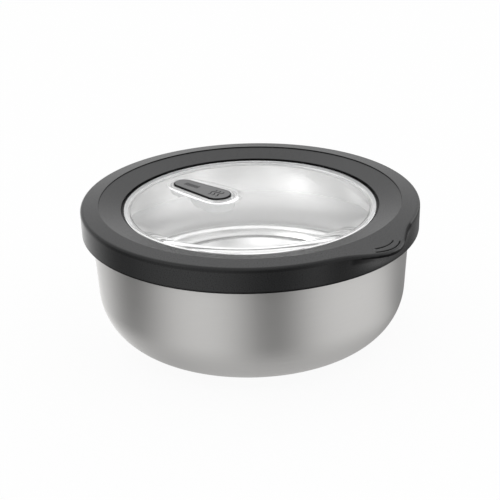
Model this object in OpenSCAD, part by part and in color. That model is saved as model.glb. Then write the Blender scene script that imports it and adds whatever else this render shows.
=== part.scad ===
// Round food container: a steel bowl under a lid with a clear window, a soft
// dark rim with a peel tab, and a rocker button that opens a steam vent.
// The origin is the centre of the bowl's underside, +Z is up and the peel tab
// points along +X. The steam vent lies on the -X side. Lengths are in mm.

/* [Bowl] */
// Outer radius of the wall where the rolled edge begins
bowl_r = 83; // [70:0.5:110]
// Height from the underside to the top of the rolled edge
bowl_h = 68.7; // [55:0.1:110]
// Thickness of the steel sheet
sheet_t = 0.8; // [0.5:0.1:1.2]
// Lean of the wall away from upright, in degrees
wall_lean = 4.1; // [1:0.1:8]
// Outer radius of the round corner between the wall and the base
corner_r = 30; // [15:0.5:40]
// Height of the rolled edge's section
roll_d = 3.4; // [2.8:0.1:4]

/* [Lid rim] */
// Gap between the rolled edge and the inside of the skirt
skirt_gap = 0.7; // [0.5:0.1:1.5]
// Thickness of the skirt at its top
skirt_t = 1.7; // [1.2:0.1:3]
// How far the skirt's outside draws in towards its foot
skirt_draft = 0.4; // [0:0.1:0.8]
// Height of the skirt from its foot to the top edge
skirt_h = 13.5; // [11:0.1:20]
// Radius of the rounding along the top edge
edge_round = 1.5; // [0.5:0.1:2]
// Thickness of the deck above the seal, at the top edge
deck_t = 2.8; // [2:0.1:5]
// Width of the outer band, from the top edge in to the crest
band_w = 9.5; // [8:0.1:16]
// Rise of the crest above the top edge
crest_rise = 1.3; // [0.5:0.1:3]
// Height of the small step on the crest's inner side
crest_step = 0.6; // [0.2:0.1:1]
// Width of the bevel between the crest and the groove
bevel_w = 11.6; // [10:0.1:20]
// Width of the dark groove between the rim and the window
groove_w = 1.4; // [1:0.1:2]
// Depth of the groove below the window's top
groove_depth = 0.6; // [0.4:0.1:1]
// Thickness of the rim under the groove
ledge_t = 0.6; // [0.5:0.1:0.8]
// Height of the bevel's inner edge above the window
lip_h = 0.9; // [0.5:0.1:2]
// How far the window lies below the top edge
window_drop = 2.4; // [2:0.1:3.4]
// Gap between the collar and the inside of the bowl's wall
collar_gap = 1.2; // [0.8:0.1:2]
// Thickness of the collar that guides the lid into the bowl
collar_t = 1.6; // [1:0.1:2.5]
// Depth of the collar below the seal's seat
collar_h = 6.4; // [4:0.1:9]

/* [Peel tab] */
// How far the tab reaches past the lid's edge
tab_reach = 9.2; // [4:0.1:14]
// Angle from the tab's middle to where it fades into the rim
tab_spread = 26; // [18:1:40]
// Upright thickness of the tab's lip
tab_lip_t = 2.3; // [2.2:0.1:4]
// Radius of the rounding at the tab's tip
tab_round = 1.9; // [1.5:0.1:2]
// How hollow the tab's underside is: 1 is straight, more is more hollow
tab_hollow = 2.2; // [1:0.1:3]
// Radius of the two arcs that are cut into the tab for grip
grip_arc_r = 17; // [12:0.5:25]
// Half of the angle that the outer arc spans
grip_half_angle = 32; // [15:1:40]
// How much the inner arc's half angle is smaller
grip_angle_step = 9; // [0:1:14]
// Distance between the two arcs
grip_pitch = 3.7; // [3:0.1:6]
// Distance from the outer arc to the tab's tip
grip_inset = 2.5; // [2:0.1:4]
// Width of the groove
grip_w = 1.2; // [0.8:0.1:2]

/* [Window] */
// Thickness of the clear window
window_t = 1.6; // [1.2:0.1:2.5]
// How far the window's flange reaches out past the window's edge
flange_w = 12.5; // [8:0.5:12.5]
// Thickness of the flange
flange_t = 1.4; // [1.2:0.1:1.8]
// Gap between the window's edges and the rim around them
flange_gap = 0.05; // [0.02:0.01:0.1]
// How far the rim's lower lip reaches back under the flange
hold_w = 2.5; // [1.5:0.1:4]
// Thickness of the rim's lower lip
hold_t = 1.2; // [0.8:0.1:2]
// Width of the raised border along the window's edge
border_w = 2; // [1:0.1:5]
// Height of the raised border
border_h = 0.3; // [0.1:0.05:0.6]

/* [Steam vent] */
// Distance from the window's edge to the rocker's outer end
vent_inset = 12.1; // [8:0.1:20]
// Length of the rocker between its two end centres
rocker_span = 25.1; // [20:0.1:32]
// Radius of the rocker's narrow outer end, over the steam hole
rocker_narrow_r = 5.3; // [4.4:0.1:7]
// Radius of the rocker's wide inner end, which a finger presses
rocker_wide_r = 7; // [6:0.1:9]
// Thickness of the rocker
rocker_t = 1.8; // [1.4:0.1:2.2]
// Height of the rocker's top above the window
rocker_proud = 0.7; // [0.3:0.1:1.2]
// Gap between the rocker and the tub around it
rocker_gap = 0.5; // [0.4:0.05:1]
// Distance from the narrow end's centre to the rocker's pivot
pivot_x = 7; // [6.6:0.1:9]
// Diameter of the trunnions that the rocker turns on
trunnion_d = 1.3; // [1:0.1:1.6]
// Radial clearance of the trunnions in their holes
trunnion_gap = 0.05; // [0.02:0.01:0.1]
// How deep the trunnions reach into the tub's walls
trunnion_grip = 0.8; // [0.5:0.1:1]
// Angle that the pressed rocker tilts through, in degrees
rock_angle = 12; // [6:0.5:13]
// Length of the ramp from the pivot down into the well
ramp_l = 9; // [5:0.5:12]
// Thickness of the tub's walls
tub_wall = 1.3; // [1.2:0.1:2]
// Thickness of the tub's floor
tub_floor = 1; // [0.8:0.1:1.4]
// Gap left under the rocker's wide end when it is pressed home
press_gap = 0.7; // [0.2:0.1:1]
// Depth of the tub's floor over the steam hole, below the window's top
shallow_depth = 4.8; // [4:0.1:5.6]
// Width of the raised land around the tub
land_w = 1.7; // [1:0.1:3]
// Height of the raised land
land_h = 0.1; // [0.1:0.1:0.6]
// Diameter of the steam hole
steam_hole_d = 4.2; // [3.8:0.1:5]
// Radial gap between the stopper's nose and the steam hole
nose_gap = 0.4; // [0.35:0.05:0.6]
// Length of the stopper's nose inside the steam hole
nose_h = 0.5; // [0.3:0.1:0.7]
// Overlap of the stopper's collar on the floor around the hole
stopper_seat_w = 1.1; // [0.6:0.1:1.4]
// Height of the stopper's collar
stopper_collar_h = 1.2; // [0.8:0.1:1.6]
// Diameter of the rocker's stud inside the stopper
stud_d = 2.2; // [1.6:0.1:2.6]
// Length of the stud
stud_h = 1.8; // [1:0.1:2]
// Thickness of the stopper's neck around the stud
neck_t = 1; // [0.7:0.1:1.3]

/* [Seal] */
// Height of the seal ring
seal_t = 1.6; // [1:0.1:3]
// Gap between the seal ring and the channel's walls
seal_side_gap = 0.1; // [0.05:0.05:0.3]
// Gap between the seal ring and the rolled edge
seal_gap = 0.3; // [0.2:0.05:0.6]

/* [Hidden] */

steel = [0.72, 0.71, 0.69];
rim_grey = [0.22, 0.225, 0.23];
clear = [0.9, 0.92, 0.92, 0.35];
vent_grey = [0.45, 0.45, 0.46];
seal_grey = [0.8, 0.8, 0.78];

round_steps = 96;

// Levels of the bowl
roll_r = roll_d / 2;
roll_z = bowl_h - roll_r;
roll_x = bowl_r - sheet_t + roll_r;
function wall_r(z) = bowl_r - (roll_z - z) * tan(wall_lean);
corner_x = wall_r(corner_r * (1 - sin(wall_lean))) - corner_r * cos(wall_lean);

// Levels and radii of the lid
seal_z = bowl_h + seal_gap;
roof_z = seal_z + seal_t;
edge_z = roof_z + deck_t;
foot_z = edge_z - skirt_h;
skirt_in_r = roll_x + roll_r + skirt_gap;
lid_r = skirt_in_r + skirt_t;
crest_r = lid_r - band_w;
crest_z = edge_z + crest_rise;
band_slope = crest_rise / band_w;
rim_in_r = crest_r - bevel_w;
window_r = rim_in_r - groove_w;
window_z = edge_z - window_drop;
window_under_z = window_z - window_t;
ledge_z = window_z - groove_depth;
flange_z = ledge_z - ledge_t;
flange_under_z = flange_z - flange_t;
flange_r = window_r + flange_w;
collar_foot_z = roof_z - collar_h;
collar_r = wall_r(collar_foot_z) - sheet_t - collar_gap;
bead_in = skirt_gap - 0.4;
bead_h = 1.6;
tab_sink = 0.03;
tab_root_r = skirt_in_r + 0.3;
tab_seam_r = lid_r - 4;

// Places of the steam vent, along -X
narrow_x = -(window_r - vent_inset - rocker_narrow_r);
wide_x = narrow_x + rocker_span;
rock_x = narrow_x + pivot_x;
rocker_top_z = window_z + rocker_proud;
rocker_under_z = rocker_top_z - rocker_t;
rock_z = rocker_under_z + 0.1;
rocker_lean = asin((rocker_wide_r - rocker_narrow_r) / rocker_span);
rock_y = (rocker_narrow_r + pivot_x * sin(rocker_lean)) / cos(rocker_lean);
trunnion_end = rock_y + rocker_gap + trunnion_grip;
boss_r = trunnion_d / 2 + 0.4;
stopper_r = steam_hole_d / 2 + stopper_seat_w;
wide_end = wide_x + rocker_wide_r;
shallow_z = window_z - shallow_depth;
saddle_z = rock_z - boss_r - 0.3;
deep_z = rock_z - (wide_end - rock_x) * sin(rock_angle)
       - (rock_z - rocker_under_z) * cos(rock_angle) - press_gap;
tub_out = rocker_gap + tub_wall;
side_sink = 0.04;

function arc(x, z, r, from, to, steps) =
    [for (i = [0:steps]) let (a = from + (to - from) * i / steps) [x + r * cos(a), z + r * sin(a)]];

module bowl() {
    wall_out = concat(
        [[0, 0]],
        arc(corner_x, corner_r, corner_r, -90, -wall_lean, 20),
        arc(roll_x, roll_z, roll_r - sheet_t, 180, -75, 17));
    wall_in = concat(
        arc(roll_x, roll_z, roll_r, -75, 180, 17),
        arc(corner_x, corner_r, corner_r - sheet_t, -wall_lean, -90, 20),
        [[0, sheet_t]]);
    color(steel)
        rotate_extrude($fn = round_steps)
            polygon(concat(wall_out, wall_in));
}

function ease(t) = t <= 0 ? 0 : t >= 1 ? 1 : (1 - cos(180 * t)) / 2;

// Height of the outer band's surface at radius r
function band_z(r) = edge_z - (r - lid_r) * band_slope;

// Section of the rim
function rim_section() =
    let (slot_r = flange_r + flange_gap)
    let (round_r = lid_r - edge_round)
    concat(
        [[window_r, ledge_z],
         [rim_in_r, ledge_z],
         [rim_in_r, window_z + lip_h],
         [crest_r, crest_z - crest_step],
         [crest_r, crest_z]],
        arc(round_r, band_z(round_r) - edge_round, edge_round, 90, 0, 6),
        [[lid_r - skirt_draft, foot_z],
         [skirt_in_r - bead_in, foot_z],
         [skirt_in_r - bead_in, foot_z + bead_h],
         [skirt_in_r, foot_z + bead_h + 2 * bead_in],
         [skirt_in_r, roof_z],
         [collar_r, roof_z],
         [collar_r, collar_foot_z + 0.5],
         [collar_r - 0.5, collar_foot_z],
         [collar_r - collar_t, collar_foot_z],
         [collar_r - collar_t, flange_under_z - hold_t],
         [slot_r - hold_w, flange_under_z - hold_t],
         [slot_r - hold_w, flange_under_z],
         [slot_r, flange_under_z],
         [slot_r, flange_z],
         [window_r, flange_z]]);

// How far the tab stands out at an angle from its middle
function tab_push(a) = abs(a) >= tab_spread ? 0 : tab_reach * pow(cos(90 * a / tab_spread), 4);

// Section of the tab where it stands out by p. Its inner side lies inside the
// rim, and its outer side lies a hair under the rim's where the two meet. The
// whole section is seen from its first point, so its end faces stay inside it.
function tab_section(p) =
    let (round = edge_round + (tab_round - edge_round) * p / tab_reach)
    let (round_r = lid_r - tab_sink + p - round)
    let (round_z = band_z(round_r) - tab_sink - round)
    let (low_z = foot_z + tab_sink)
    let (lip_z = round_z + round - tab_lip_t)
    let (steps = 8)
    concat(
        [[tab_root_r, roof_z + 0.3 * deck_t],
         [tab_seam_r - 1.5, roof_z + 0.5 * deck_t],
         [tab_seam_r - 1.5, band_z(tab_seam_r) - 0.5],
         [tab_seam_r - 0.5, band_z(tab_seam_r - 0.5) - tab_sink]],
        arc(round_r, round_z, round, 90, 0, 6),
        [for (i = [steps:-1:0])
            let (s = i / steps)
            [lid_r - tab_sink - skirt_draft * (1 - s) + p * pow(s, tab_hollow), low_z + (lip_z - low_z) * s]],
        [[tab_root_r, low_z]]);

// The rim's outer layer that the tab takes the place of
module tab_notch() {
    rotate([0, 0, 1 - tab_spread])
        rotate_extrude(angle = 2 * tab_spread - 2, $fn = round_steps)
            polygon([
                [tab_seam_r, crest_z + 1],
                [tab_seam_r, roof_z + 0.7 * deck_t],
                [tab_root_r + 0.3, roof_z + 0.45 * deck_t],
                [tab_root_r + 0.3, foot_z - 1],
                [lid_r + 1, foot_z - 1],
                [lid_r + 1, crest_z + 1]]);
}

module peel_tab() {
    steps = 30;
    sections = [for (k = [0:steps])
        let (a = tab_spread * (2 * k / steps - 1))
        [for (q = tab_section(tab_push(a))) [q[0] * cos(a), q[0] * sin(a), q[1]]]];
    n = len(sections[0]);
    polyhedron(
        points = [for (s = sections) each s],
        faces = concat(
            [[for (j = [0:n - 1]) j]],
            [[for (j = [n:-1:1]) steps * n + j % n]],
            [for (k = [0:steps - 1]) for (j = [0:n - 1])
                let (j2 = (j + 1) % n)
                [k * n + j2, k * n + j, (k + 1) * n + j, (k + 1) * n + j2]]));
}

// One curved grip groove whose middle lies at radius r on the tab
module grip_groove(r, half_angle) {
    translate([r, 0, band_z(r)])
        rotate([0, atan(band_slope), 0])
            translate([-grip_arc_r, 0, grip_w * 0.1])
                rotate([0, 0, -half_angle])
                    rotate_extrude(angle = 2 * half_angle, $fn = round_steps)
                        translate([grip_arc_r, 0])
                            circle(d = grip_w, $fn = 16);
}

module lid_rim() {
    tip_r = lid_r + tab_reach;
    color(rim_grey)
        difference() {
            union() {
                difference() {
                    rotate([0, 0, 180])
                        rotate_extrude($fn = round_steps)
                            polygon(rim_section());
                    tab_notch();
                }
                peel_tab();
            }
            grip_groove(tip_r - grip_inset, grip_half_angle);
            grip_groove(tip_r - grip_inset - grip_pitch, grip_half_angle - grip_angle_step);
        }
}

// Outline of the rocker seen from above, grown by g. Its sides run a hair
// inside the round ends' tangents.
module rocker_outline(g = 0) {
    narrow = rocker_narrow_r + g - side_sink;
    wide = rocker_wide_r + g - side_sink;
    tangent = 90 + rocker_lean;
    translate([narrow_x, 0]) circle(r = rocker_narrow_r + g, $fn = 64);
    translate([wide_x, 0]) circle(r = rocker_wide_r + g, $fn = 64);
    polygon([
        [narrow_x + narrow * cos(tangent), narrow * sin(tangent)],
        [wide_x + wide * cos(tangent), wide * sin(tangent)],
        [wide_x + wide * cos(tangent), -wide * sin(tangent)],
        [narrow_x + narrow * cos(tangent), -narrow * sin(tangent)]]);
}

// Height of the tub's floor at x: shallow over the steam hole, up over the
// saddle under the pivot and down into the well under the wide end
function tub_floor_z(x) =
    let (shallow_end = stopper_r + 0.4)
    x < rock_x
        ? shallow_z + (saddle_z - shallow_z) * ease((x - narrow_x - shallow_end) / (pivot_x - shallow_end - boss_r))
        : saddle_z + (deep_z - saddle_z) * ease((x - rock_x - boss_r) / ramp_l);

// A body under the outline that goes down to the tub's floor, lowered by drop
module tub_body(g, drop, top_z) {
    from_x = narrow_x - rocker_narrow_r - tub_out - 1;
    to_x = wide_end + tub_out + 1;
    steps = 60;
    intersection() {
        translate([0, 0, deep_z - tub_floor - 1])
            linear_extrude(top_z - deep_z + tub_floor + 1)
                rocker_outline(g);
        translate([0, rocker_wide_r + tub_out + 1, 0])
            rotate([90, 0, 0])
                linear_extrude(2 * (rocker_wide_r + tub_out + 1))
                    polygon(concat(
                        [for (i = [0:steps])
                            let (x = from_x + (to_x - from_x) * i / steps)
                            [x, tub_floor_z(x) - drop]],
                        [[to_x, top_z], [from_x, top_z]]));
    }
}

module lid_window() {
    land_z = window_z + land_h;
    hole_end = trunnion_end + 0.1;
    border_r = window_r - flange_gap;
    color(clear)
        difference() {
            union() {
                rotate_extrude($fn = round_steps)
                    polygon([
                        [0, window_under_z],
                        [border_r - border_w - 1, window_under_z],
                        [border_r - border_w - 1, flange_under_z],
                        [flange_r, flange_under_z],
                        [flange_r, flange_z],
                        [border_r, flange_z],
                        [border_r, window_z + border_h],
                        [border_r - border_w + border_h, window_z + border_h],
                        [border_r - border_w, window_z],
                        [0, window_z]]);
                tub_body(tub_out, tub_floor, land_z);
                translate([0, 0, window_under_z])
                    linear_extrude(window_t + land_h)
                        rocker_outline(tub_out + land_w);
            }
            tub_body(rocker_gap, 0, land_z + 1);
            translate([narrow_x, 0, shallow_z - tub_floor - 1])
                cylinder(d = steam_hole_d, h = tub_floor + 2, $fn = 32);
            translate([rock_x, hole_end, rock_z])
                rotate([90, 0, 0])
                    cylinder(r = trunnion_d / 2 + trunnion_gap, h = 2 * hole_end, $fn = 24);
        }
}

module seal_ring() {
    color(seal_grey)
        translate([0, 0, seal_z])
            difference() {
                cylinder(r = skirt_in_r - seal_side_gap, h = seal_t, $fn = round_steps);
                translate([0, 0, -1])
                    cylinder(r = collar_r + seal_side_gap, h = seal_t + 2, $fn = round_steps);
            }
}

module vent_rocker() {
    color(vent_grey) {
        translate([0, 0, rocker_under_z])
            linear_extrude(rocker_t)
                rocker_outline();
        translate([rock_x, trunnion_end, rock_z])
            rotate([90, 0, 0])
                cylinder(d = trunnion_d, h = 2 * trunnion_end, $fn = 24);
        translate([rock_x, rock_y - 0.3, rock_z])
            rotate([90, 0, 0])
                cylinder(r = boss_r, h = 2 * (rock_y - 0.3), $fn = 24);
        translate([narrow_x, 0, rocker_under_z - stud_h])
            cylinder(d = stud_d, h = stud_h + rocker_t / 2, $fn = 24);
    }
}

module vent_stopper() {
    nose_r = steam_hole_d / 2 - nose_gap;
    color(seal_grey)
        translate([narrow_x, 0, 0])
            difference() {
                union() {
                    translate([0, 0, shallow_z - nose_h])
                        cylinder(r = nose_r, h = nose_h + 0.1, $fn = 32);
                    translate([0, 0, shallow_z])
                        cylinder(r = stopper_r, h = stopper_collar_h, $fn = 32);
                    translate([0, 0, shallow_z])
                        cylinder(d = stud_d + 2 * neck_t, h = rocker_under_z - shallow_z, $fn = 32);
                }
                translate([0, 0, rocker_under_z - stud_h])
                    cylinder(d = stud_d, h = stud_h + 1, $fn = 24);
            }
}

bowl();
lid_rim();
lid_window();
seal_ring();
vent_rocker();
vent_stopper();
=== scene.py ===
import bmesh, bpy, math
import numpy as np
from mathutils import Matrix, Vector


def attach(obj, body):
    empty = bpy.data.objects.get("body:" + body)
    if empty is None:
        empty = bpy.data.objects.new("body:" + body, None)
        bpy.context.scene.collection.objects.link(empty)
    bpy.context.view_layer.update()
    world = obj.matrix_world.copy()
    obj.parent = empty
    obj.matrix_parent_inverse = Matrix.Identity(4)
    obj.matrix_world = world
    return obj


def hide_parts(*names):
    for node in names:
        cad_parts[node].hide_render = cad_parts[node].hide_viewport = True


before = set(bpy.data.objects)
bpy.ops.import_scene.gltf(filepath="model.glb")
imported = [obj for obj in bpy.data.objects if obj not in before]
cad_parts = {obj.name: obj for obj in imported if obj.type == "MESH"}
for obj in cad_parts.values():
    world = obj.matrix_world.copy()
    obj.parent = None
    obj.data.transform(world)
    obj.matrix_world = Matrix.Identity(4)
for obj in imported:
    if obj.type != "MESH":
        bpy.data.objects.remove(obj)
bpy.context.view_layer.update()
MM = 0.001

# Sizes in mm and degrees, as in the CAD model. The bowl:
BOWL_R, BOWL_H, SHEET, LEAN, CORNER_R, ROLL_D = 83.0, 68.7, 0.8, 4.1, 30.0, 3.4
ROLL_Z = BOWL_H - ROLL_D / 2
# The lid's rim, with its crest round the window, its collar inside the bowl and its peel tab
EDGE_Z, ROOF_Z, FOOT_Z = 73.4, 70.6, 59.9
LID_R, SKIRT_IN, SKIRT_LEAN, CREST_R, RIM_IN = 88.0, 86.3, 0.4, 78.5, 66.9
CREST_RISE, CREST_STEP, LIP_H = 1.3, 0.6, 0.9
BAND_SLOPE = CREST_RISE / 9.5
COLLAR_FOOT, COLLAR_T = 64.2, 1.6
POCKET_IN, POCKET_OUT = 75.55, 78.05
TAB_REACH, TAB_SPREAD, TAB_LIP, TAB_HOLLOW = 9.2, 26.0, 2.3, 2.2
GRIP_ARCS = ((LID_R + TAB_REACH - 2.5, 32.0), (LID_R + TAB_REACH - 6.2, 23.0))
GRIP_R, GRIP_HALF_W, GRIP_DEPTH = 17.0, 0.68, 0.5
# The window, with its flange in the rim and a bead along its border
WINDOW_R, WINDOW_Z, WINDOW_T = 65.5, 71.0, 1.6
LEDGE_Z, FLANGE_Z, FLANGE_T, FLANGE_R = 70.4, 69.8, 1.4, 78.0
BEAD_W, BEAD_H = 2.0, 0.3
# The vent: the button's outline, its tub in the window and the raised land round it
NARROW_X, WIDE_X, NARROW_R, WIDE_R = -48.1, -23.0, 5.3, 7.0
OUT_LEAN = math.asin((WIDE_R - NARROW_R) / (WIDE_X - NARROW_X))
ROCK_X, ROCK_Z = -41.1, 70.0
ROCKER_TOP, ROCKER_T, ROCKER_EDGE_R = 71.7, 1.8, 0.38
GAP, TUB_WALL, TUB_FLOOR = 0.5, 1.3, 1.0
LAND_W, LAND_H, LAND_EDGE_R = 1.7, 0.1, 0.05
SHALLOW_Z, SADDLE_Z, DEEP_Z = 66.2, 68.65, 63.98
SADDLE_HALF, SHALLOW_END, DEEP_RUN = 1.05, 3.6, 9.0
# The outline moved by this much all but closes on its middle line
TO_MIDDLE = -5.29
# Half the button's width at its trunnions, with their bosses
ROCK_RUN = ROCK_X - NARROW_X
HALF_WIDTH = (NARROW_R + ROCK_RUN * math.sin(OUT_LEAN)) / math.cos(OUT_LEAN)
TRUNNION_R, TRUNNION_HOLE_R, TRUNNION_END = 0.65, 0.7, HALF_WIDTH + GAP + 0.8
BOSS_R, BOSS_END = 1.05, HALF_WIDTH - 0.3
# The stopper on its stud: its plug in the vent hole, its cap over it and its neck
STUD_R, STUD_DEPTH, STUD_ROOT = 1.1, 1.8, 0.4
VENT_HOLE_R, PLUG_R, CAP_R, CAP_T, NECK_R = 2.1, 1.7, 3.2, 1.2, 2.1
# The height of the seal's lips
SEAL_Z = 69.0


def wall_r(z):
    """The radius of the bowl's outside at a height."""
    return BOWL_R - (ROLL_Z - z) * math.tan(math.radians(LEAN))


COLLAR_R = wall_r(COLLAR_FOOT) - SHEET - 1.2


# Nodes

def feed(tree, socket, value):
    """Sets an input, or links it where the value is another node's output."""
    if isinstance(value, bpy.types.NodeSocket):
        tree.links.new(value, socket)
    else:
        socket.default_value = value


def put(tree, target, inputs):
    for key, value in inputs.items():
        feed(tree, target.inputs[key], value)


def node(tree, kind, inputs=None, out=0, **settings):
    """Adds a node with these settings and inputs, and gives one of its outputs."""
    new = tree.nodes.new(kind)
    for key, value in settings.items():
        setattr(new, key, value)
    put(tree, new, inputs or {})
    return new.outputs[out]


def maths(tree, operation, a, b):
    return node(tree, "ShaderNodeMath", {0: a, 1: b}, operation=operation)


def vector(tree, x=0.0, y=0.0, z=0.0):
    return node(tree, "ShaderNodeCombineXYZ", {"X": x, "Y": y, "Z": z})


def vector_maths(tree, operation, a, b):
    return node(tree, "ShaderNodeVectorMath", {0: a, 1: b}, operation=operation)


# Materials

def new_material(name):
    mat = bpy.data.materials.new(name)
    mat.use_nodes = True
    return mat, mat.node_tree, mat.node_tree.nodes["Principled BSDF"]


def bare_material(name):
    mat, tree, principled = new_material(name)
    tree.nodes.remove(principled)
    return mat, tree


def show(tree, shader):
    feed(tree, tree.nodes["Material Output"].inputs["Surface"], shader)


def object_coords(tree, scale=(1, 1, 1)):
    coords = node(tree, "ShaderNodeTexCoord", out="Object")
    return node(tree, "ShaderNodeMapping", {"Vector": coords, "Scale": scale})


def noise(tree, scale, detail=2, rough=0.5, stretch=(1, 1, 1)):
    return node(tree, "ShaderNodeTexNoise", {
        "Vector": object_coords(tree, stretch), "Scale": scale, "Detail": detail,
        "Roughness": rough}, "Fac")


def spread(tree, value, low, high, to_low, to_high):
    return node(tree, "ShaderNodeMapRange", {
        "Value": value, "From Min": low, "From Max": high, "To Min": to_low,
        "To Max": to_high}, "Result")


def bump(tree, height, strength, distance):
    return node(tree, "ShaderNodeBump", {
        "Height": height, "Strength": strength, "Distance": distance}, "Normal")


def mixed(tree, share, a, b):
    """A colour between two, each given by its numbers or by another node's output."""
    a, b = (c if isinstance(c, bpy.types.NodeSocket) else (*c, 1) for c in (a, b))
    return node(tree, "ShaderNodeMix", {"Factor": share, "A": a, "B": b}, "Result",
                data_type="RGBA")


def ray_is(tree, *kinds):
    """1 for rays of any of these kinds, and 0 for others."""
    path = tree.nodes.new("ShaderNodeLightPath")
    found = path.outputs["Is %s Ray" % kinds[0]]
    for kind in kinds[1:]:
        found = maths(tree, "MAXIMUM", found, path.outputs["Is %s Ray" % kind])
    return found


def satin_steel():
    """Fine lines round the bowl, which draw its reflections out up and down."""
    mat, tree, bsdf = new_material("satin steel")
    lines = noise(tree, 1, 3, 0.6, (40, 40, 2600))
    put(tree, bsdf, {
        "Metallic": 1, "Anisotropic": 0.65, "Anisotropic Rotation": 0.25,
        "Tangent": node(tree, "ShaderNodeTangent", direction_type="RADIAL", axis="Z"),
        "Base Color": mixed(tree, noise(tree, 14), (0.568, 0.561, 0.55), (0.592, 0.585, 0.574)),
        "Roughness": spread(tree, lines, 0.3, 0.7, 0.38, 0.46),
        "Normal": bump(tree, lines, 0.08, 0.0001)})
    return mat


def polished_steel():
    """Mirror bright on the floor, duller up the wall, whose lower half is finely matted."""
    mat, tree, bsdf = new_material("polished steel")
    height = node(tree, "ShaderNodeSeparateXYZ", {"Vector": object_coords(tree)}, "Z")

    def by_height(*slopes):
        """The sum of two slopes: from one height to another, in metres, and between values."""
        return maths(tree, "ADD", *(spread(tree, height, *numbers) for numbers in slopes))

    put(tree, bsdf, {
        "Base Color": mixed(tree, noise(tree, 20, 3), (0.965, 0.963, 0.96), (0.98, 0.978, 0.975)),
        "Roughness": by_height((0.024, 0.044, 0.075, 0.2), (0.044, 0.06, 0.0, -0.04)),
        "Metallic": by_height((0.02, 0.03, 1.0, 0.6), (0.042, 0.056, 0.0, 0.4)),
        "Normal": bump(tree, noise(tree, 1, stretch=(30, 30, 1500)), 0.03, 0.0001)})
    return mat


def soft_rim(name, dark, light, shine):
    """The mesh attribute shade is painted shade, which takes it down to black and dull in hollows
    and along edges.
    """
    mat, tree, bsdf = new_material(name)
    shade = node(tree, "ShaderNodeAttribute", out="Fac", attribute_name="shade")
    grain = noise(tree, 2600, 2, 0.6)
    lit = mixed(tree, noise(tree, 60), dark, light)
    put(tree, bsdf, {
        "Base Color": mixed(tree, shade, lit, (0.003, 0.003, 0.0032)),
        "Specular IOR Level": spread(tree, shade, 0, 1, shine, 0.02),
        "Roughness": spread(tree, grain, 0.3, 0.7, 0.25, 0.33),
        "Normal": bump(tree, grain, 0.1, 0.00006)})
    return mat


def clear_plastic(name, transmission, mottle, dark, light, rough, rougher):
    """The lamps' light passes straight through it, and reaches the steel under the window."""
    mat, tree, bsdf = new_material(name)
    cloud = noise(tree, mottle)
    put(tree, bsdf, {
        "Transmission Weight": transmission, "IOR": 1.49,
        "Base Color": mixed(tree, cloud, dark, light),
        "Roughness": spread(tree, cloud, 0.3, 0.7, rough, rougher)})
    through = node(tree, "ShaderNodeBsdfTransparent", {"Color": (0.99, 0.99, 0.99, 1)})
    show(tree, node(tree, "ShaderNodeMixShader", {
        0: ray_is(tree, "Shadow", "Diffuse", "Reflection"), 1: bsdf.outputs["BSDF"], 2: through}))
    return mat


def roughened_plastic(name, dark, light):
    """The window's flange, which is roughened where the rim is moulded round it."""
    mat, tree, bsdf = new_material(name)
    put(tree, bsdf, {
        "Base Color": mixed(tree, noise(tree, 400), dark, light), "Roughness": 0.45,
        "Normal": bump(tree, noise(tree, 5000), 0.2, 0.00005)})
    return mat


def vent_plastic(name, dark, light, shine):
    mat, tree, bsdf = new_material(name)
    grain = noise(tree, 4200, 2, 0.6)
    put(tree, bsdf, {
        "Base Color": mixed(tree, noise(tree, 150), dark, light), "Specular IOR Level": shine,
        "Roughness": spread(tree, grain, 0.3, 0.7, 0.42, 0.52),
        "Normal": bump(tree, grain, 0.15, 0.00005)})
    return mat


def pale_silicone():
    mat, tree, bsdf = new_material("pale silicone")
    put(tree, bsdf, {
        "Base Color": mixed(tree, noise(tree, 180), (0.6, 0.6, 0.585), (0.68, 0.68, 0.665)),
        "Roughness": 0.45, "Subsurface Weight": 0.15, "Subsurface Scale": 0.001})
    return mat


STEEL_OUT, STEEL_IN = satin_steel(), polished_steel()
RIM = soft_rim("soft dark rim", (0.014, 0.0143, 0.015), (0.018, 0.0184, 0.0192), 0.42)
# The same rim, darker and duller: painted shade in the window's groove and on the crest's step
GROOVE_SHADE = soft_rim("rim with painted shade in its grooves", (0.004, 0.004, 0.0042), (0.006, 0.006, 0.0063), 0.08)
CLEAR = clear_plastic("clear plastic", 1, 35, (0.975, 0.98, 0.98), (0.985, 0.99, 0.99), 0.01, 0.03)
# Finely frosted: the tub, but for the top rounding of its outside, the edge of the land and
# the inner side of the bead
MILKY = clear_plastic("frosted clear plastic", 0.3, 220, (0.96, 0.965, 0.965),
                      (0.98, 0.985, 0.985), 0.16, 0.24)
FROSTED = roughened_plastic("roughened clear plastic", (0.8, 0.805, 0.805), (0.85, 0.855, 0.855))
PALE = roughened_plastic("roughened flange", (0.93, 0.935, 0.935), (0.96, 0.965, 0.965))
VENT = vent_plastic("vent plastic", (0.16, 0.16, 0.162), (0.178, 0.178, 0.18), 0.3)
# The button's plastic painted near black: painted shade on its sides and edge in the gap
VENT_GAP_SHADE = vent_plastic("vent plastic with painted gap shade", (0.006, 0.006, 0.006),
                         (0.008, 0.008, 0.008), 0.1)
MARK = vent_plastic("vent mark", (0.006, 0.006, 0.006), (0.009, 0.009, 0.009), 0.1)
SILICONE = pale_silicone()


# Meshes

def place(name, data):
    obj = bpy.data.objects.new(name, data)
    bpy.context.scene.collection.objects.link(obj)
    return obj


def smooth(mesh, angle=40):
    mesh.shade_smooth()
    mesh.set_sharp_from_angle(angle=math.radians(angle))


def mesh_piece(name, verts_mm, faces, materials, smooth_angle, face_slots=None):
    mesh = bpy.data.meshes.new(name)
    verts = [tuple(v) for v in np.asarray(verts_mm) * MM]
    mesh.from_pydata(verts, [], [tuple(map(int, f)) for f in faces])
    for m in materials:
        mesh.materials.append(m)
    if face_slots is not None:
        mesh.polygons.foreach_set("material_index", np.asarray(face_slots, dtype=np.int32))
    mesh.validate()
    smooth(mesh, smooth_angle)
    return place(name, mesh)


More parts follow.
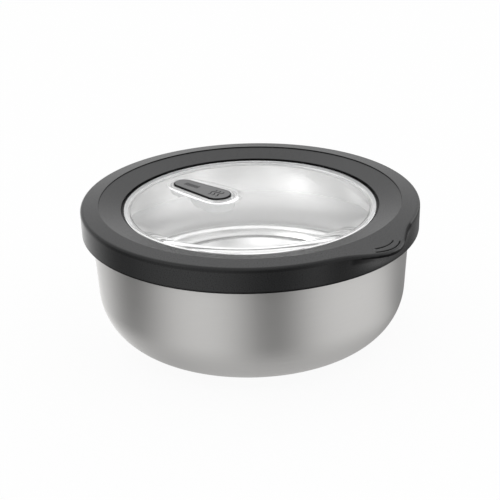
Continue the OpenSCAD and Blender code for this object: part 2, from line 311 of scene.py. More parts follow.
def outward(obj):
    """Merges doubled points and turns all faces outwards."""
    bm = bmesh.new()
    bm.from_mesh(obj.data)
    bmesh.ops.remove_doubles(bm, verts=bm.verts, dist=1e-7)
    bmesh.ops.recalc_face_normals(bm, faces=bm.faces)
    bm.to_mesh(obj.data)
    bm.free()
    return obj


def ease(t):
    """A soft step from 0 at t = 0 to 1 at t = 1."""
    t = np.clip(t, 0, 1)
    return (1 - np.cos(np.pi * t)) / 2


def quarter(shares):
    """The sine and cosine at these shares of a right angle."""
    return [(math.sin(math.pi / 2 * t), math.cos(math.pi / 2 * t)) for t in shares]


def rounded(corners, steps=4):
    """A closed section from corners (point, radius), each rounded by its own radius."""
    points = [np.array(p, float) for p, _ in corners]
    out = []
    for i, (p, (_, r)) in enumerate(zip(points, corners)):
        a, b = points[i - 1] - p, points[(i + 1) % len(points)] - p
        length_a, length_b = np.linalg.norm(a), np.linalg.norm(b)
        a, b = a / length_a, b / length_b
        half = math.acos(max(-1, min(1, float(a @ b)))) / 2
        if r <= 0:
            out.append(tuple(p))
            continue
        if half > math.pi / 2 - 0.01:
            out += [tuple(p)] * (steps + 1)
            continue
        cut_back, most = r / math.tan(half), 0.48 * min(length_a, length_b)
        if cut_back > most:
            cut_back, r = most, most * math.tan(half)
        centre = p + (a + b) / np.linalg.norm(a + b) * (r / math.sin(half))
        first, last = p + a * cut_back - centre, p + b * cut_back - centre
        start = math.atan2(first[1], first[0])
        turn = (math.atan2(last[1], last[0]) - start + math.pi) % (2 * math.pi) - math.pi
        for k in range(steps + 1):
            t = start + turn * k / steps
            out.append((centre[0] + r * math.cos(t), centre[1] + r * math.sin(t)))
    return out


def ring_faces(rings, points, closed):
    """Faces between rings of equal length, each ring a closed loop of points."""
    faces = []
    for k in range(rings if closed else rings - 1):
        a, b = k * points, ((k + 1) % rings) * points
        for j in range(points):
            j2 = (j + 1) % points
            faces.append((a + j, a + j2, b + j2, b + j))
    return faces


def lathe(name, section, material, steps):
    """A closed section (r, z), turned about Z; a side of it on the axis makes no faces."""
    ang = np.linspace(0, 2 * math.pi, steps, endpoint=False)
    verts = np.concatenate([np.c_[r * np.cos(ang), r * np.sin(ang), np.full(steps, z)]
                            for r, z in section])
    radii = [r for r, _ in section]
    on_axis = [max(r, radii[(k + 1) % len(radii)]) < 1e-6 for k, r in enumerate(radii)]
    faces = [f for k, f in enumerate(ring_faces(len(section), steps, True))
             if not on_axis[k // steps]]
    return outward(mesh_piece(name, verts, faces, [material], 35))


# Node trees for pieces, and the meshes made from them

def new_tree(name, inputs):
    """An empty tree with these named inputs; gives the tree, its inputs and its end."""
    tree = bpy.data.node_groups.new(name, "GeometryNodeTree")
    tree.interface.new_socket("Geometry", in_out="INPUT", socket_type="NodeSocketGeometry")
    for key, (kind, value) in inputs.items():
        item = tree.interface.new_socket(key, in_out="INPUT", socket_type=kind)
        if value is not None:
            item.default_value = value
    tree.interface.new_socket("Geometry", in_out="OUTPUT", socket_type="NodeSocketGeometry")
    return tree, tree.nodes.new("NodeGroupInput").outputs, tree.nodes.new("NodeGroupOutput")


def finish_tree(tree, geometry, material, end):
    real = node(tree, "GeometryNodeRealizeInstances", {"Geometry": geometry})
    put(tree, end, {"Geometry": node(
        tree, "GeometryNodeSetMaterial", {"Geometry": real, "Material": material})})


def socket_id(tree, name):
    return next(i.identifier for i in tree.interface.items_tree
                if i.item_type == "SOCKET" and i.in_out == "INPUT" and i.name == name)


def from_nodes(name, tree, values):
    """A plain mesh object from a tree, with these values for its inputs."""
    holder = place(name + " maker", bpy.data.meshes.new(name + " maker"))
    mod = holder.modifiers.new("nodes", "NODES")
    mod.node_group = tree
    for key, value in values.items():
        mod[socket_id(tree, key)] = value
    dg = bpy.context.evaluated_depsgraph_get()
    mesh = bpy.data.meshes.new_from_object(holder.evaluated_get(dg))
    mesh.name = name
    obj = place(name, mesh)
    holder.modifiers.clear()
    bpy.data.objects.remove(holder)
    return obj


# Bowl

def turned_sheet_tree():
    """Turns the middle line of a sheet: out along the floor, up the wall, over in a roll."""
    tree, given, end = new_tree("Turned sheet", {
        "Foot corner": ("NodeSocketVector", (0.07, 0.0, 0.0)),
        "Wall top": ("NodeSocketVector", (0.08, 0.07, 0.0)),
        "Roll width": ("NodeSocketFloat", 0.003),
        "Corner radius": ("NodeSocketFloat", 0.03),
        "Level": ("NodeSocketFloat", 0.0004),
        "Turns": ("NodeSocketInt", 192),
        "Material": ("NodeSocketMaterial", None)})
    top, width = given["Wall top"], given["Roll width"]
    down, part = (maths(tree, "MULTIPLY", width, share) for share in (-1.0, 0.62))
    corners = [vector(tree, 0.0, given["Level"]), given["Foot corner"], top] + [
        vector_maths(tree, "ADD", top, vector(tree, *way))
        for way in ((width, 0.0), (width, down), (part, down))]
    index = node(tree, "GeometryNodeInputIndex")
    pick = tree.nodes.new("GeometryNodeIndexSwitch")
    pick.data_type = "VECTOR"
    while len(pick.index_switch_items) < len(corners):
        pick.index_switch_items.new()
    feed(tree, pick.inputs["Index"], index)
    for socket, corner in zip([s for s in pick.inputs if s.name != "Index"], corners):
        feed(tree, socket, corner)
    line = node(tree, "GeometryNodeMeshLine", {"Count": len(corners), "Offset": (0.001, 0, 0)})
    bent = node(tree, "GeometryNodeSetPosition", {"Geometry": line, "Position": pick.outputs[0]})
    # The foot's corner is the line's second point; all others belong to the roll
    at_foot = node(tree, "FunctionNodeCompare", {"A": index, "B": 1},
                   data_type="INT", operation="EQUAL")
    radius = node(tree, "GeometryNodeSwitch", {
        "Switch": at_foot, "False": maths(tree, "MULTIPLY", width, 0.48),
        "True": given["Corner radius"]}, input_type="FLOAT")
    section = node(tree, "GeometryNodeFilletCurve", {
        "Curve": node(tree, "GeometryNodeMeshToCurve", {"Mesh": bent}), "Radius": radius,
        "Count": 22}, mode="POLY")
    # A unit circle carries the section, which the sweep puts along the circle's radius: the
    # circle's own radius is taken away again, and the section's Y turned upwards
    circle = node(tree, "GeometryNodeCurvePrimitiveCircle", {
        "Radius": 1, "Resolution": given["Turns"]})
    swept = node(tree, "GeometryNodeCurveToMesh", {"Curve": circle, "Profile Curve": section})
    position = node(tree, "GeometryNodeInputPosition")
    flat = vector_maths(tree, "MULTIPLY", position, (1, 1, 0))
    unit = node(tree, "ShaderNodeVectorMath", {0: flat}, operation="NORMALIZE")
    inward = vector_maths(tree, "SUBTRACT", position, unit)
    upright = vector_maths(tree, "MULTIPLY", inward, (1, 1, -1))
    turned = node(tree, "GeometryNodeSetPosition", {"Geometry": swept, "Position": upright})
    merged = node(tree, "GeometryNodeMergeByDistance", {"Geometry": turned, "Distance": 1e-6})
    finish_tree(tree, merged, given["Material"], end)
    return tree


# The tree turns the middle line of the sheet; Solidify then gives it its thickness
bowl = from_nodes("steel_bowl", turned_sheet_tree(), {
    "Foot corner": ((wall_r(0) - SHEET / 2) * MM, SHEET / 2 * MM, 0.0),
    "Wall top": ((BOWL_R - SHEET / 2 + 0.09) * MM, (BOWL_H - SHEET / 2) * MM, 0.0),
    "Roll width": (ROLL_D - SHEET) * MM,
    "Corner radius": (CORNER_R - SHEET / 2) * MM,
    "Level": SHEET / 2 * MM,
    "Turns": 224,
    "Material": STEEL_IN})
outward(bowl)
bowl.data.materials.append(STEEL_OUT)
bowl.data.shade_smooth()
sheet = bowl.modifiers.new("sheet", "SOLIDIFY")
sheet.thickness = SHEET * MM
sheet.offset = 0
sheet.use_quality_normals = True
sheet.material_offset = 1
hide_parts("bowl")
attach(bowl, "bowl")


# Rim: one section for each angle, which reaches out at the peel tab

# Degrees to each side of the tab with finer steps, and the radius from which the section has
# them too; the top face, in which the grip arcs are sunk, lies above this height and radius
NEAR_TAB, FINE_FROM = 27.0, 83.4
TOP_FACE_Z, TOP_FACE_R = EDGE_Z - 3, 84
# Strips of the section in the window's groove (0 to 7) and on the crest's step (13 to 17), which
# carry painted shade
GROOVE_SHADE_STRIPS = (*range(8), *range(13, 18))
# How dark the rim's painted shade is: on its outer rounding, the line along the tab's far edge and
# the skirt's foot, the skirt by the tab, and the hollow under the tab's lip
ROUND_SHADE, LINE_SHADE, SKIRT_SHADE, HOLLOW_SHADE = 0.35, 0.95, 0.6, 0.9


def band_z(r):
    return EDGE_Z - (r - LID_R) * BAND_SLOPE


def tab_push(a):
    """How far the rim reaches out beyond its circle at this angle."""
    if abs(a) >= TAB_SPREAD:
        return 0.0
    return TAB_REACH * math.cos(math.radians(90 * a / TAB_SPREAD)) ** 4


def grip_depth(x, y):
    depth = 0.0
    for r, half in GRIP_ARCS:
        cx = r - GRIP_R
        a = math.degrees(math.atan2(y, x - cx))
        if abs(a) <= half:
            d = abs(math.hypot(x - cx, y) - GRIP_R)
        else:
            e = math.radians(math.copysign(half, a))
            d = math.hypot(x - cx - GRIP_R * math.cos(e), y - GRIP_R * math.sin(e))
        if d < GRIP_HALF_W:
            depth = max(depth, GRIP_DEPTH * (1 + math.cos(math.pi * d / GRIP_HALF_W)) / 2)
    return depth


def rim_section(push):
    """The rim's closed section, as (r, z) from the window's groove out over crest and edge."""
    share = push / TAB_REACH
    rx, rz = 1.5 + 1.0 * share, 1.5 + 0.4 * share
    round_r = LID_R + push - rx
    round_z = band_z(round_r) - rz
    top = [(r, band_z(r)) for r in np.concatenate([
        np.linspace(CREST_R + 0.9, FINE_FROM, 6)[:-1], np.linspace(FINE_FROM, round_r, 56)])]
    edge = [(round_r + rx * math.sin(t), round_z + rz * math.cos(t))
            for t in np.linspace(0.14, math.pi / 2, 10)]
    lip_z = round_z + rz - TAB_LIP
    wall = [(LID_R - SKIRT_LEAN * (1 - q) + push * q ** TAB_HOLLOW,
             FOOT_Z + (lip_z - FOOT_Z) * q)
            for q in (1.0, 0.96, 0.9, 0.83, 0.75, 0.66, 0.57, 0.48, 0.39, 0.3, 0.21, 0.12)]
    inside, flange_low, channel = SKIRT_IN - 0.3, FLANGE_Z - FLANGE_T, COLLAR_R - COLLAR_T
    return rounded([
        ((WINDOW_R, LEDGE_Z), 0), ((RIM_IN, LEDGE_Z), 0.12), ((RIM_IN, WINDOW_Z + LIP_H), 0.35),
        ((CREST_R, EDGE_Z + CREST_RISE - CREST_STEP), 0.22), ((CREST_R, EDGE_Z + CREST_RISE), 0.22),
        *((p, 0) for p in top + edge), (wall[0], 0.35), *((p, 0) for p in wall[1:]),
        ((LID_R - SKIRT_LEAN, FOOT_Z), 0.5), ((inside, FOOT_Z), 0.25),
        ((inside, FOOT_Z + 1.6), 0.25), ((SKIRT_IN, FOOT_Z + 2.2), 0.2),
        ((SKIRT_IN, ROOF_Z), 0.25), ((COLLAR_R, ROOF_Z), 0.25), ((COLLAR_R, COLLAR_FOOT), 0.6),
        ((channel, COLLAR_FOOT), 0.5), ((channel, flange_low - 1.2), 0.3),
        ((POCKET_IN, flange_low - 1.2), 0.3),
        ((POCKET_IN, flange_low), 0), ((POCKET_OUT, flange_low), 0), ((POCKET_OUT, FLANGE_Z), 0),
        ((WINDOW_R, FLANGE_Z), 0)])


def painted_rim_shade(x, y, z):
    """The painted shade at a point: under the tab's lip, in the grip arcs, along the skirt's foot.
    """
    r, a = math.hypot(x, y), math.degrees(math.atan2(y, x))
    if r < SKIRT_IN:
        return 0.0
    push = tab_push(a)
    share, past_edge = push / TAB_REACH, r - LID_R - push
    lip_z = EDGE_Z - TAB_LIP
    shade = LINE_SHADE * ease((FOOT_Z + 0.9 - z) / 0.5)
    if z > lip_z:
        far_side = ease((a - 3) / 6) * ease(share * 40)
        shade = max(shade, ROUND_SHADE * ease((past_edge + 2.6) / 2.2),
                    LINE_SHADE * far_side * ease((past_edge + 1.5) / 0.8))
    if z > TOP_FACE_Z:
        shade = max(shade, min(1.0, 2.0 * grip_depth(x, y) / GRIP_DEPTH))
    if z < lip_z + 0.4:
        up = (z - FOOT_Z) / (lip_z - FOOT_Z)
        shade = max(shade, SKIRT_SHADE * ease((30 - abs(a)) / 14),
                    HOLLOW_SHADE * ease(up * 1.9 - 0.6) * ease(share * 3.5))
    return float(shade)


def make_rim():
    near = np.arange(-NEAR_TAB, NEAR_TAB + 0.001, 0.36)
    far = np.linspace(NEAR_TAB, 360 - NEAR_TAB, 205)[1:-1]
    angles = np.concatenate([near, np.where(far > 180, far - 360, far)])
    verts = []
    for a in angles:
        section = rim_section(tab_push(a))
        c, s = math.cos(math.radians(a)), math.sin(math.radians(a))
        for r, z in section:
            on_tab = abs(a) < NEAR_TAB and z > TOP_FACE_Z and r > TOP_FACE_R
            verts.append((r * c, r * s, z - grip_depth(r * c, r * s) if on_tab else z))
    slots = [int(j in GROOVE_SHADE_STRIPS) for j in range(len(section))] * len(angles)
    faces = ring_faces(len(angles), len(section), True)
    obj = mesh_piece("soft_rim", verts, faces, [RIM, GROOVE_SHADE], 40, slots)
    # Painted shade for each point, which the rim's material reads
    shade = obj.data.attributes.new("shade", "FLOAT", "POINT")
    shade.data.foreach_set("value", [painted_rim_shade(*v) for v in verts])
    return outward(obj)


rim = make_rim()
rim.data.set_sharp_from_angle(angle=math.radians(40))
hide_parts("lid_rim")
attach(rim, "lid")


# Rings round the button's outline, which the window, its tub and the button share

def outline(grow):
    """The button's outline seen from above, moved outwards by grow."""
    t = math.pi / 2 + OUT_LEAN
    wide, narrow = WIDE_R + grow, NARROW_R + grow
    wide_end, side, narrow_end = 65, 23, 57
    pts = [(WIDE_X + wide * math.cos(a), wide * math.sin(a)) for a in np.linspace(-t, t, wide_end)]
    p0 = np.array(pts[-1])
    p1 = np.array([NARROW_X + narrow * math.cos(t), narrow * math.sin(t)])
    pts += [tuple(p0 + (p1 - p0) * k / (side + 1)) for k in range(1, side + 1)]
    pts += [(NARROW_X + narrow * math.cos(a), narrow * math.sin(a))
            for a in np.linspace(t, 2 * math.pi - t, narrow_end)]
    pts += [(p[0], -p[1]) for p in pts[wide_end + side - 1:wide_end - 1:-1]]
    return np.array(pts)


OUT_N = len(outline(0))


def circle_ring(r):
    """As many points as the outline has, on a circle about the axis."""
    base = outline(6.0) - np.array([(NARROW_X + WIDE_X) / 2, 0])
    ang = np.arctan2(base[:, 1], base[:, 0])
    return np.c_[r * np.cos(ang), r * np.sin(ang)]


def level(ring, z):
    return np.c_[ring, np.broadcast_to(z, len(ring))]


def folded(ring):
    """The ring laid flat onto its middle line, which closes a skin."""
    out = np.array(ring)
    out[:, 1] = 0
    return out


def skin(name, rings, materials, strip_slots):
    """A closed mesh from rings, the first and last of them folded, with a slot for each strip."""
    faces = ring_faces(len(rings), OUT_N, False)
    slots = np.repeat(strip_slots, OUT_N)
    return outward(mesh_piece(name, np.concatenate(rings), faces, materials, 40, slots))


def tub_floor(x):
    """The height of the tub's floor, which rises to a saddle under the trunnions."""
    shallow_run = ROCK_RUN - SHALLOW_END - SADDLE_HALF
    left = SHALLOW_Z + (SADDLE_Z - SHALLOW_Z) * ease((x - NARROW_X - SHALLOW_END) / shallow_run)
    right = SADDLE_Z + (DEEP_Z - SADDLE_Z) * ease((x - ROCK_X - SADDLE_HALF) / DEEP_RUN)
    return np.where(x < ROCK_X, left, right)


ROUND_STEPS = 6


def well(grow, drop, edge_r, top_z, top_r):
    """Rings from the middle of the tub's floor, lowered by drop, up its wall at grow to top_z."""
    rings = []
    for g in (TO_MIDDLE, -4.2, -3.0, -1.8, -0.6):
        o = outline(g + (grow - GAP) * 0.5)
        rings.append(level(o, tub_floor(o[:, 0]) - drop))
    rings.insert(0, folded(rings[0]))
    wall_z = tub_floor(outline(grow)[:, 0]) - drop
    steps = np.linspace(0, 1, ROUND_STEPS)
    for s, c in quarter(steps):
        rings.append(level(outline(grow - edge_r * (1 - s)), wall_z + edge_r * (1 - c)))
    height = top_z - top_r - wall_z - edge_r
    for k in (1, 2, 3):
        rings.append(level(outline(grow), wall_z + edge_r + height * k / 4))
    for s, c in quarter(steps):
        rings.append(level(outline(grow + top_r * (1 - c)), top_z - top_r + top_r * s))
    return rings


def make_window():
    clear, milky, frosted, pale = range(4)
    rings, slots = [], []

    def add(ring, slot=clear):
        """Adds a ring, and the slot of the strip between it and the next one."""
        rings.append(ring)
        slots.append(slot)

    # The tub's inside, the land round it, and the window's top
    land, land_z, edge_r = GAP + TUB_WALL + LAND_W, WINDOW_Z + LAND_H, LAND_EDGE_R
    for ring in well(GAP, drop=0, edge_r=0.5, top_z=land_z, top_r=0.22):
        add(ring, milky)
    slots[-1] = clear
    add(level(outline(GAP + 1.5), land_z))
    add(level(outline(land - 0.3), land_z), milky)
    for s, c in quarter((0, 0.5, 1)):
        add(level(outline(land - edge_r + edge_r * s), land_z - edge_r + edge_r * c), milky)
    for s, c in quarter((0.5, 1)):
        add(level(outline(land + edge_r - edge_r * c), WINDOW_Z + edge_r - edge_r * s), milky)
    slots[-1] = clear
    inner, border = outline(land + edge_r), WINDOW_R - 0.05
    for t in (0.06, 0.15, 0.3, 0.5, 0.72, 0.9):
        add(level(inner + (circle_ring(border - BEAD_W) - inner) * t, WINDOW_Z))

    # The bead, the flange and the step under the window, as radius, height and slot
    bead_z, flange_low, low = WINDOW_Z + BEAD_H, FLANGE_Z - FLANGE_T, WINDOW_Z - WINDOW_T
    bevel, step_r = 0.15, border - 3.0
    for r, z, slot in (
            (border - BEAD_W, WINDOW_Z, clear), (border - 1.85, WINDOW_Z + 0.05, milky),
            (border - 1.7, WINDOW_Z + 0.2, clear), (border - 1.5, bead_z, clear),
            (border - 0.2, bead_z, clear), (border - 0.06, WINDOW_Z + 0.24, clear),
            (border, WINDOW_Z + 0.1, clear), (border, FLANGE_Z + 0.1, clear),
            (border + 0.1, FLANGE_Z, clear), (FLANGE_R - bevel, FLANGE_Z, clear),
            (FLANGE_R, FLANGE_Z - bevel, pale), (FLANGE_R, flange_low + bevel, pale),
            (FLANGE_R - bevel, flange_low, pale), (border + 0.6, flange_low, frosted),
            (border - 1.6, flange_low, clear), (step_r + bevel, flange_low, clear),
            (step_r, flange_low + bevel, clear), (step_r, low - bevel, clear),
            (step_r - bevel, low, clear)):
        add(level(circle_ring(r), z), slot)

    # The window's underside, and the tub's outside down to its middle, clear at its rounding
    under_r = 0.4
    outer, tub = circle_ring(step_r - bevel), outline(GAP + TUB_WALL + under_r)
    for t in (0.12, 0.3, 0.5, 0.7, 0.85, 0.94):
        add(level(outer + (tub - outer) * t, low))
    under = well(GAP + TUB_WALL, TUB_FLOOR, edge_r=0.9, top_z=low, top_r=under_r)[::-1]
    for k, ring in enumerate(under):
        add(ring, milky if k >= ROUND_STEPS else clear)
    return skin("clear_window", rings, [CLEAR, MILKY, FROSTED, PALE], slots[:-1])


def cylinder(name, p, axis, r, length, steps=32):
    """A closed cylinder in mm, centred on p along axis."""
    bm = bmesh.new()
    bmesh.ops.create_cone(bm, cap_ends=True, segments=steps, radius1=r * MM, radius2=r * MM,
                          depth=length * MM)
    turn = Vector((0, 0, 1)).rotation_difference(Vector(axis)).to_matrix().to_4x4()
    bm.transform(Matrix.Translation(Vector(p) * MM) @ turn)
    mesh = bpy.data.meshes.new(name)
    bm.to_mesh(mesh)
    bm.free()
    return place(name, mesh)


def cut(obj, cutters):
    for c in cutters:
        mod = obj.modifiers.new("cut", "BOOLEAN")
        mod.operation = "DIFFERENCE"
        mod.solver = "EXACT"
        mod.object = c
    dg = bpy.context.evaluated_depsgraph_get()
    mesh = bpy.data.meshes.new_from_object(obj.evaluated_get(dg))
    obj.modifiers.clear()
    old, obj.data = obj.data, mesh
    bpy.data.meshes.remove(old)
    for c in cutters:
        bpy.data.objects.remove(c)
    smooth(mesh)


def merge_into(obj, others):
    """Adds the others' meshes to obj's own."""
    bm = bmesh.new()
    bm.from_mesh(obj.data)
    for o in others:
        bm.from_mesh(o.data)
        bpy.data.objects.remove(o)
    bm.to_mesh(obj.data)
    bm.free()
    smooth(obj.data)


ALONG_Y, ALONG_Z = (0, 1, 0), (0, 0, 1)
PIVOT = (ROCK_X, 0, ROCK_Z)

window = make_window()
cut(window, [
    cylinder("vent hole cutter", (NARROW_X, 0, SHALLOW_Z - 0.5), ALONG_Z, VENT_HOLE_R, 3, 64),
    cylinder("trunnion hole cutter", PIVOT, ALONG_Y, TRUNNION_HOLE_R, 2 * TRUNNION_END + 0.2)])
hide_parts("lid_window")
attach(window, "lid")


# Rocker button, with its trunnions, their bosses and the stud that holds the stopper

def make_rocker():
    low, top, low_r, r = ROCKER_TOP - ROCKER_T, ROCKER_TOP, 0.2, ROCKER_EDGE_R
    rings = [level(outline(g), low) for g in (TO_MIDDLE, -3.0)]
    rings.insert(0, folded(rings[0]))
    for s, c in quarter((0, 0.5, 1)):
        rings.append(level(outline(-low_r + low_r * s), low + low_r - low_r * c))
    for s, c in quarter(np.linspace(0, 1, 7)):
        rings.append(level(outline(-r + r * c), top - r + r * s))
    in_gap = len(rings)
    rings += [level(outline(g), top) for g in (-0.62, -1.2, -2.4, -3.6, -4.6, TO_MIDDLE)]
    rings.append(folded(rings[-1]))
    # The underside, the sides and the top's edge are painted near black, as the shade in the gap
    slots = [int(k < in_gap) for k in range(len(rings) - 1)]
    obj = skin("vent_button", rings, [VENT, VENT_GAP_SHADE], slots)
    stud_middle = low + (STUD_ROOT - STUD_DEPTH) / 2
    merge_into(obj, [
        cylinder("trunnions", PIVOT, ALONG_Y, TRUNNION_R, 2 * TRUNNION_END),
        cylinder("bosses", PIVOT, ALONG_Y, BOSS_R, 2 * BOSS_END),
        cylinder("stud", (NARROW_X, 0, stud_middle), ALONG_Z, STUD_R, STUD_DEPTH + STUD_ROOT)])
    return obj


rocker = make_rocker()
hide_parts("vent_rocker")
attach(rocker, "rocker")


# Stopper on the stud, and the seal ring

stopper_top, stopper_low = ROCKER_TOP - ROCKER_T, SHALLOW_Z - 0.5
stud_low, cap_z = stopper_top - STUD_DEPTH, SHALLOW_Z + CAP_T
stopper = lathe("vent_stopper_plug", rounded([
    ((STUD_R, stud_low), 0), ((0.0, stud_low), 0), ((0.0, stopper_low), 0),
    ((PLUG_R, stopper_low), 0.25), ((PLUG_R, SHALLOW_Z), 0.08), ((CAP_R, SHALLOW_Z), 0.3),
    ((CAP_R, cap_z), 0.35), ((NECK_R, cap_z), 0.3), ((NECK_R, stopper_top), 0.1),
    ((STUD_R, stopper_top), 0)]), SILICONE, 64)
stopper.data.transform(Matrix.Translation((NARROW_X * MM, 0, 0)))
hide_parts("vent_stopper")
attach(stopper, "rocker")

seal_in, seal_out = COLLAR_R + 0.1, SKIRT_IN - 0.1
seal = lathe("seal_lip_ring", rounded([
    ((seal_in, SEAL_Z + 0.2), 0.2), ((seal_in + 1.1, SEAL_Z), 0.35),
    ((seal_in + 1.7, SEAL_Z + 0.5), 0.2), ((seal_out - 1.7, SEAL_Z + 0.5), 0.2),
    ((seal_out - 1.1, SEAL_Z), 0.35), ((seal_out, SEAL_Z + 0.2), 0.2),
    ((seal_out, ROOF_Z), 0.15), ((seal_in, ROOF_Z), 0.15)]), SILICONE, 224)
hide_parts("seal_ring")
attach(seal, "lid")


# Marks on the button: three rising waves of steam, and a row of short ribs on the other end

def stroke_row_tree():
    tree, given, end = new_tree("Row of raised strokes", {
        "Centre": ("NodeSocketVector", (0.0, 0.0, 0.0)),
        "Strokes": ("NodeSocketInt", 3),
        "Spacing": ("NodeSocketFloat", 0.002),
        "Length": ("NodeSocketFloat", 0.006),
        "Sway": ("NodeSocketFloat", 0.0004),
        "Waves": ("NodeSocketFloat", 1.5),
        "Width": ("NodeSocketFloat", 0.0004),
        "Material": ("NodeSocketMaterial", None)})

    def times(a, b):
        return maths(tree, "MULTIPLY", a, b)

    half = times(given["Length"], 0.5)
    line = node(tree, "GeometryNodeCurvePrimitiveLine", {
        "Start": vector(tree, 0.0, times(half, -1.0)), "End": vector(tree, 0.0, half)})
    fine = node(tree, "GeometryNodeResampleCurve", {"Curve": line, "Count": 25})
    along = node(tree, "GeometryNodeSplineParameter", out="Factor")
    phase = times(times(along, given["Waves"]), 2 * math.pi)
    swing = times(node(tree, "ShaderNodeMath", {0: phase}, operation="SINE"), given["Sway"])
    bent = node(tree, "GeometryNodeSetPosition", {"Geometry": fine, "Offset": vector(tree, swing)})
    tip = node(tree, "GeometryNodeCurvePrimitiveCircle", {
        "Resolution": 8, "Radius": times(given["Width"], 0.5)})
    stroke = node(tree, "GeometryNodeCurveToMesh", {
        "Curve": bent, "Profile Curve": tip, "Fill Caps": True})
    flat = node(tree, "GeometryNodeTransform", {"Geometry": stroke, "Scale": (1, 1, 0.3)})
    first = times(times(maths(tree, "SUBTRACT", given["Strokes"], 1.0), -0.5), given["Spacing"])
    row = node(tree, "GeometryNodeMeshLine", {
        "Count": given["Strokes"], "Offset": vector(tree, given["Spacing"]),
        "Start Location": vector_maths(tree, "ADD", given["Centre"], vector(tree, first))})
    copies = node(tree, "GeometryNodeInstanceOnPoints", {"Points": row, "Instance": flat})
    finish_tree(tree, copies, given["Material"], end)
    return tree


STROKES = stroke_row_tree()
for name, x, strokes, spacing, length, sway, width in (
        ("steam_waves", WIDE_X - 1.4, 3, 2.5, 6.8, 0.6, 0.65),
        ("grip_ribs", NARROW_X + 6.1, 8, 1.25, 2.8, 0.0, 0.62)):
    mark = from_nodes(name, STROKES, {
        "Centre": (x * MM, 0.0, (ROCKER_TOP + 0.01) * MM), "Strokes": strokes,
        "Spacing": spacing * MM, "Length": length * MM, "Sway": sway * MM, "Waves": 1.5,
        "Width": width * MM, "Material": MARK})
    mark.data.shade_smooth()
    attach(mark, "rocker")


# Floor, world and lamp

def seen(tree):
    return ray_is(tree, "Camera", "Glossy", "Transmission")


def make_floor():
    """White where it is seen, with the object's shadow, and grey for the light it throws up."""
    mat, tree = bare_material("white floor")
    sight = seen(tree)
    paint = node(tree, "ShaderNodeBsdfDiffuse", {"Color": spread(tree, sight, 0, 1, 0.4, 0.95)})
    glow = node(tree, "ShaderNodeEmission", {"Strength": 1.0})
    share = spread(tree, sight, 0, 1, 0.0, 0.93)
    show(tree, node(tree, "ShaderNodeMixShader", {0: share, 1: paint, 2: glow}))
    mesh = bpy.data.meshes.new("floor")
    reach, z = 4, -0.0004
    mesh.from_pydata([(-reach, -reach, z), (reach, -reach, z), (reach, reach, z),
                      (-reach, reach, z)], [], [(0, 1, 2, 3)])
    mesh.materials.append(mat)
    obj = place("floor", mesh)


def make_world():
    world = bpy.data.worlds.new("studio")
    bpy.context.scene.world = world
    world.use_nodes = True
    tree = world.node_tree
    put(tree, tree.nodes["Background"], {
        "Color": (1, 1, 1, 1), "Strength": spread(tree, seen(tree), 0, 1, 0.55, 1.0)})


def soft_box(name, spot, width, power):
    data = bpy.data.lights.new(name, "AREA")
    data.shape = "DISK"
    data.size = width
    data.energy = power
    obj = place(name, data)
    obj.location = spot
    obj.rotation_mode = "QUATERNION"
    obj.rotation_quaternion = (Vector((0, 0, 0.04)) - Vector(spot)).to_track_quat("-Z", "Y")


# Soft-edged cards, each with its angle from the camera's side, half width in degrees, and depth
# or strength: those that the bowl's wall sees, those on the floor that its rounded bottom sees,
# and those in the sky that its inside sees
DARK_ON_WALL = ((-69, 24, 0.78), (10, 18.7, 0.75), (98, 17.9, 0.51), (145, 35, 1.0), (170, 14, 0.8))
DARK_ON_FLOOR = ((119, 56, 0.66), (-48, 28.5, 0.34))
LIGHT_ON_WALL = ((-135, 17.8, 1.0),)
LIGHT_ON_FLOOR = ((-120, 19.3, 1.2), (-104, 50, 0.85))
DARK_IN_SKY = ((22, 13, 0.36), (165, 16, 0.12))
LIGHT_IN_SKY = ((104, 25, 2.6), (-52, 14, 1.3), (-12, 13, 0.5))
# The even darkness between the cards
FLOOR_SHADE, SKY_SHADE, TOP_SHADE = 0.24, 0.14, 0.1
# Rows of the cards' screens: radius and height in mm, and share. On the low screen the share
# goes from 0, on the floor, to 1, beside the bowl; in the sky from 0, at its foot, through 1, in
# the middle of its cards, to 2, all above them
LOW_ROWS = ((46, 0.2, 0), (60, 0.3, 0), (84, 0.4, 0.1), (92, 0.4, 0.4), (108, 0.5, 0.8),
            (126, 2, 1), (134, 16, 1), (138, 40, 1), (140, 75, 1))
SKY_ROWS = ((978, 208, 0), (951, 309, 0.7), (914, 407, 1), (848, 530, 1), (766, 643, 1.5),
            (669, 743, 2), (500, 866, 2), (259, 966, 2), (1, 1000, 2))
# Degrees round to the camera's side, from -Y and from +X
CAMERA_TURN = 43.2
CAMERA_SIDE = CAMERA_TURN - 90


def card_depth(angle, cards):
    """The cards' depths at this angle from +X, in degrees, added up."""
    turn = angle - CAMERA_SIDE + 180
    return sum(depth * math.exp(-(((turn - mid) % 360 - 180) / half) ** 2)
               for mid, half, depth in cards)


def low_cards(a, share):
    """Darkness and lightness at this angle and share of the low screen."""
    dark = share * card_depth(a, DARK_ON_WALL)
    dark += (1 - share) * (FLOOR_SHADE + card_depth(a, DARK_ON_FLOOR))
    light = share * card_depth(a, LIGHT_ON_WALL) + (1 - share) * card_depth(a, LIGHT_ON_FLOOR)
    return dark, light


def sky_cards(a, share):
    """Darkness and lightness at this angle and share of the sky."""
    cards = min(share, 2 - share)
    dark = min(share, 1) * SKY_SHADE + max(0, share - 1) * TOP_SHADE
    return dark + cards * card_depth(a, DARK_IN_SKY), cards * card_depth(a, LIGHT_IN_SKY)


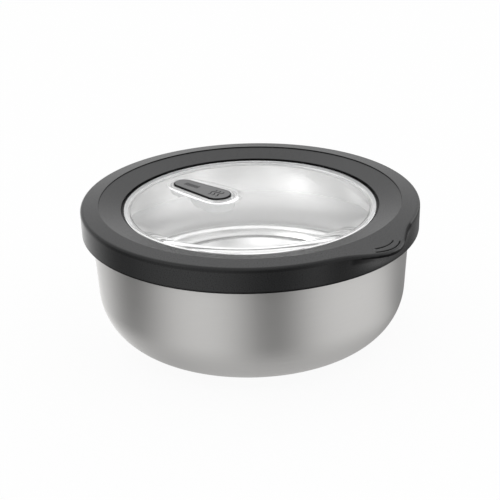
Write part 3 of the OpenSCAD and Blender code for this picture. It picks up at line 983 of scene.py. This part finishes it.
def make_cards(name, rows, values):
    """A screen of cards round the bowl, which only the gloss of metal and rim sees."""
    steps = 360
    verts, dark, light = [], [], []
    for r, z, share in rows:
        for k in range(steps):
            a = 360.0 * k / steps
            verts.append((r * math.cos(math.radians(a)), r * math.sin(math.radians(a)), z))
            d, w = values(a, share)
            dark.append(max(0.0, min(1.0, d)))
            light.append(w)
    mat, tree = bare_material(name)
    darkness, lightness = (node(tree, "ShaderNodeAttribute", out="Fac", attribute_name=key)
                           for key in ("darkness", "lightness"))
    black = node(tree, "ShaderNodeEmission", {"Color": (0.03, 0.03, 0.03, 1)})
    card = node(tree, "ShaderNodeMixShader", {
        0: darkness, 1: node(tree, "ShaderNodeBsdfTransparent"), 2: black})
    glow = node(tree, "ShaderNodeEmission", {"Strength": lightness})
    show(tree, node(tree, "ShaderNodeAddShader", {0: card, 1: glow}))
    obj = mesh_piece(name, verts, ring_faces(len(rows), steps, False), [mat], 80)
    for key, numbers in (("darkness", dark), ("lightness", light)):
        obj.data.attributes.new(key, "FLOAT", "POINT").data.foreach_set("value", numbers)
    for key in ("camera", "diffuse", "transmission", "shadow", "volume_scatter"):
        setattr(obj, "visible_" + key, False)


make_floor()
make_world()
soft_box("wide soft box overhead", (-0.06, 0.1, 1.25), 2.9, 15.0)
make_cards("low cards", LOW_ROWS, low_cards)
make_cards("sky cards", SKY_ROWS, sky_cards)


# Camera, as fitted to the photograph's ellipses: pixels, radians and lid radii

PICTURE, SENSOR = 500, 36


def set_camera():
    focal, tilt, roll, dist, u0, v0 = 2000.0, 0.4031, -0.0239, 11.7865, 249.406, 200.544
    middle = PICTURE / 2
    ahead = np.array([0, math.cos(tilt), -math.sin(tilt)])
    level_right = np.array([1.0, 0, 0])
    level_up = np.cross(level_right, ahead)
    right = math.cos(roll) * level_right + math.sin(roll) * level_up
    up = -math.sin(roll) * level_right + math.cos(roll) * level_up
    way = ahead + (u0 - middle) / focal * right - (v0 - middle) / focal * up
    pose = np.eye(4)
    pose[:3] = np.c_[right, up, -ahead, -dist * way * LID_R * MM]
    data = bpy.data.cameras.new("camera")
    data.sensor_width = SENSOR
    data.lens = focal / PICTURE * SENSOR
    data.shift_x, data.shift_y = -0.001, 0.001
    turn = Matrix.Rotation(math.radians(CAMERA_TURN), 4, "Z")
    cam = place("camera", data)
    cam.matrix_world = Matrix.Translation((0, 0, EDGE_Z * MM)) @ turn @ Matrix(pose.tolist())
    bpy.context.scene.camera = cam


set_camera()
bpy.context.scene.view_settings.view_transform = "Standard"
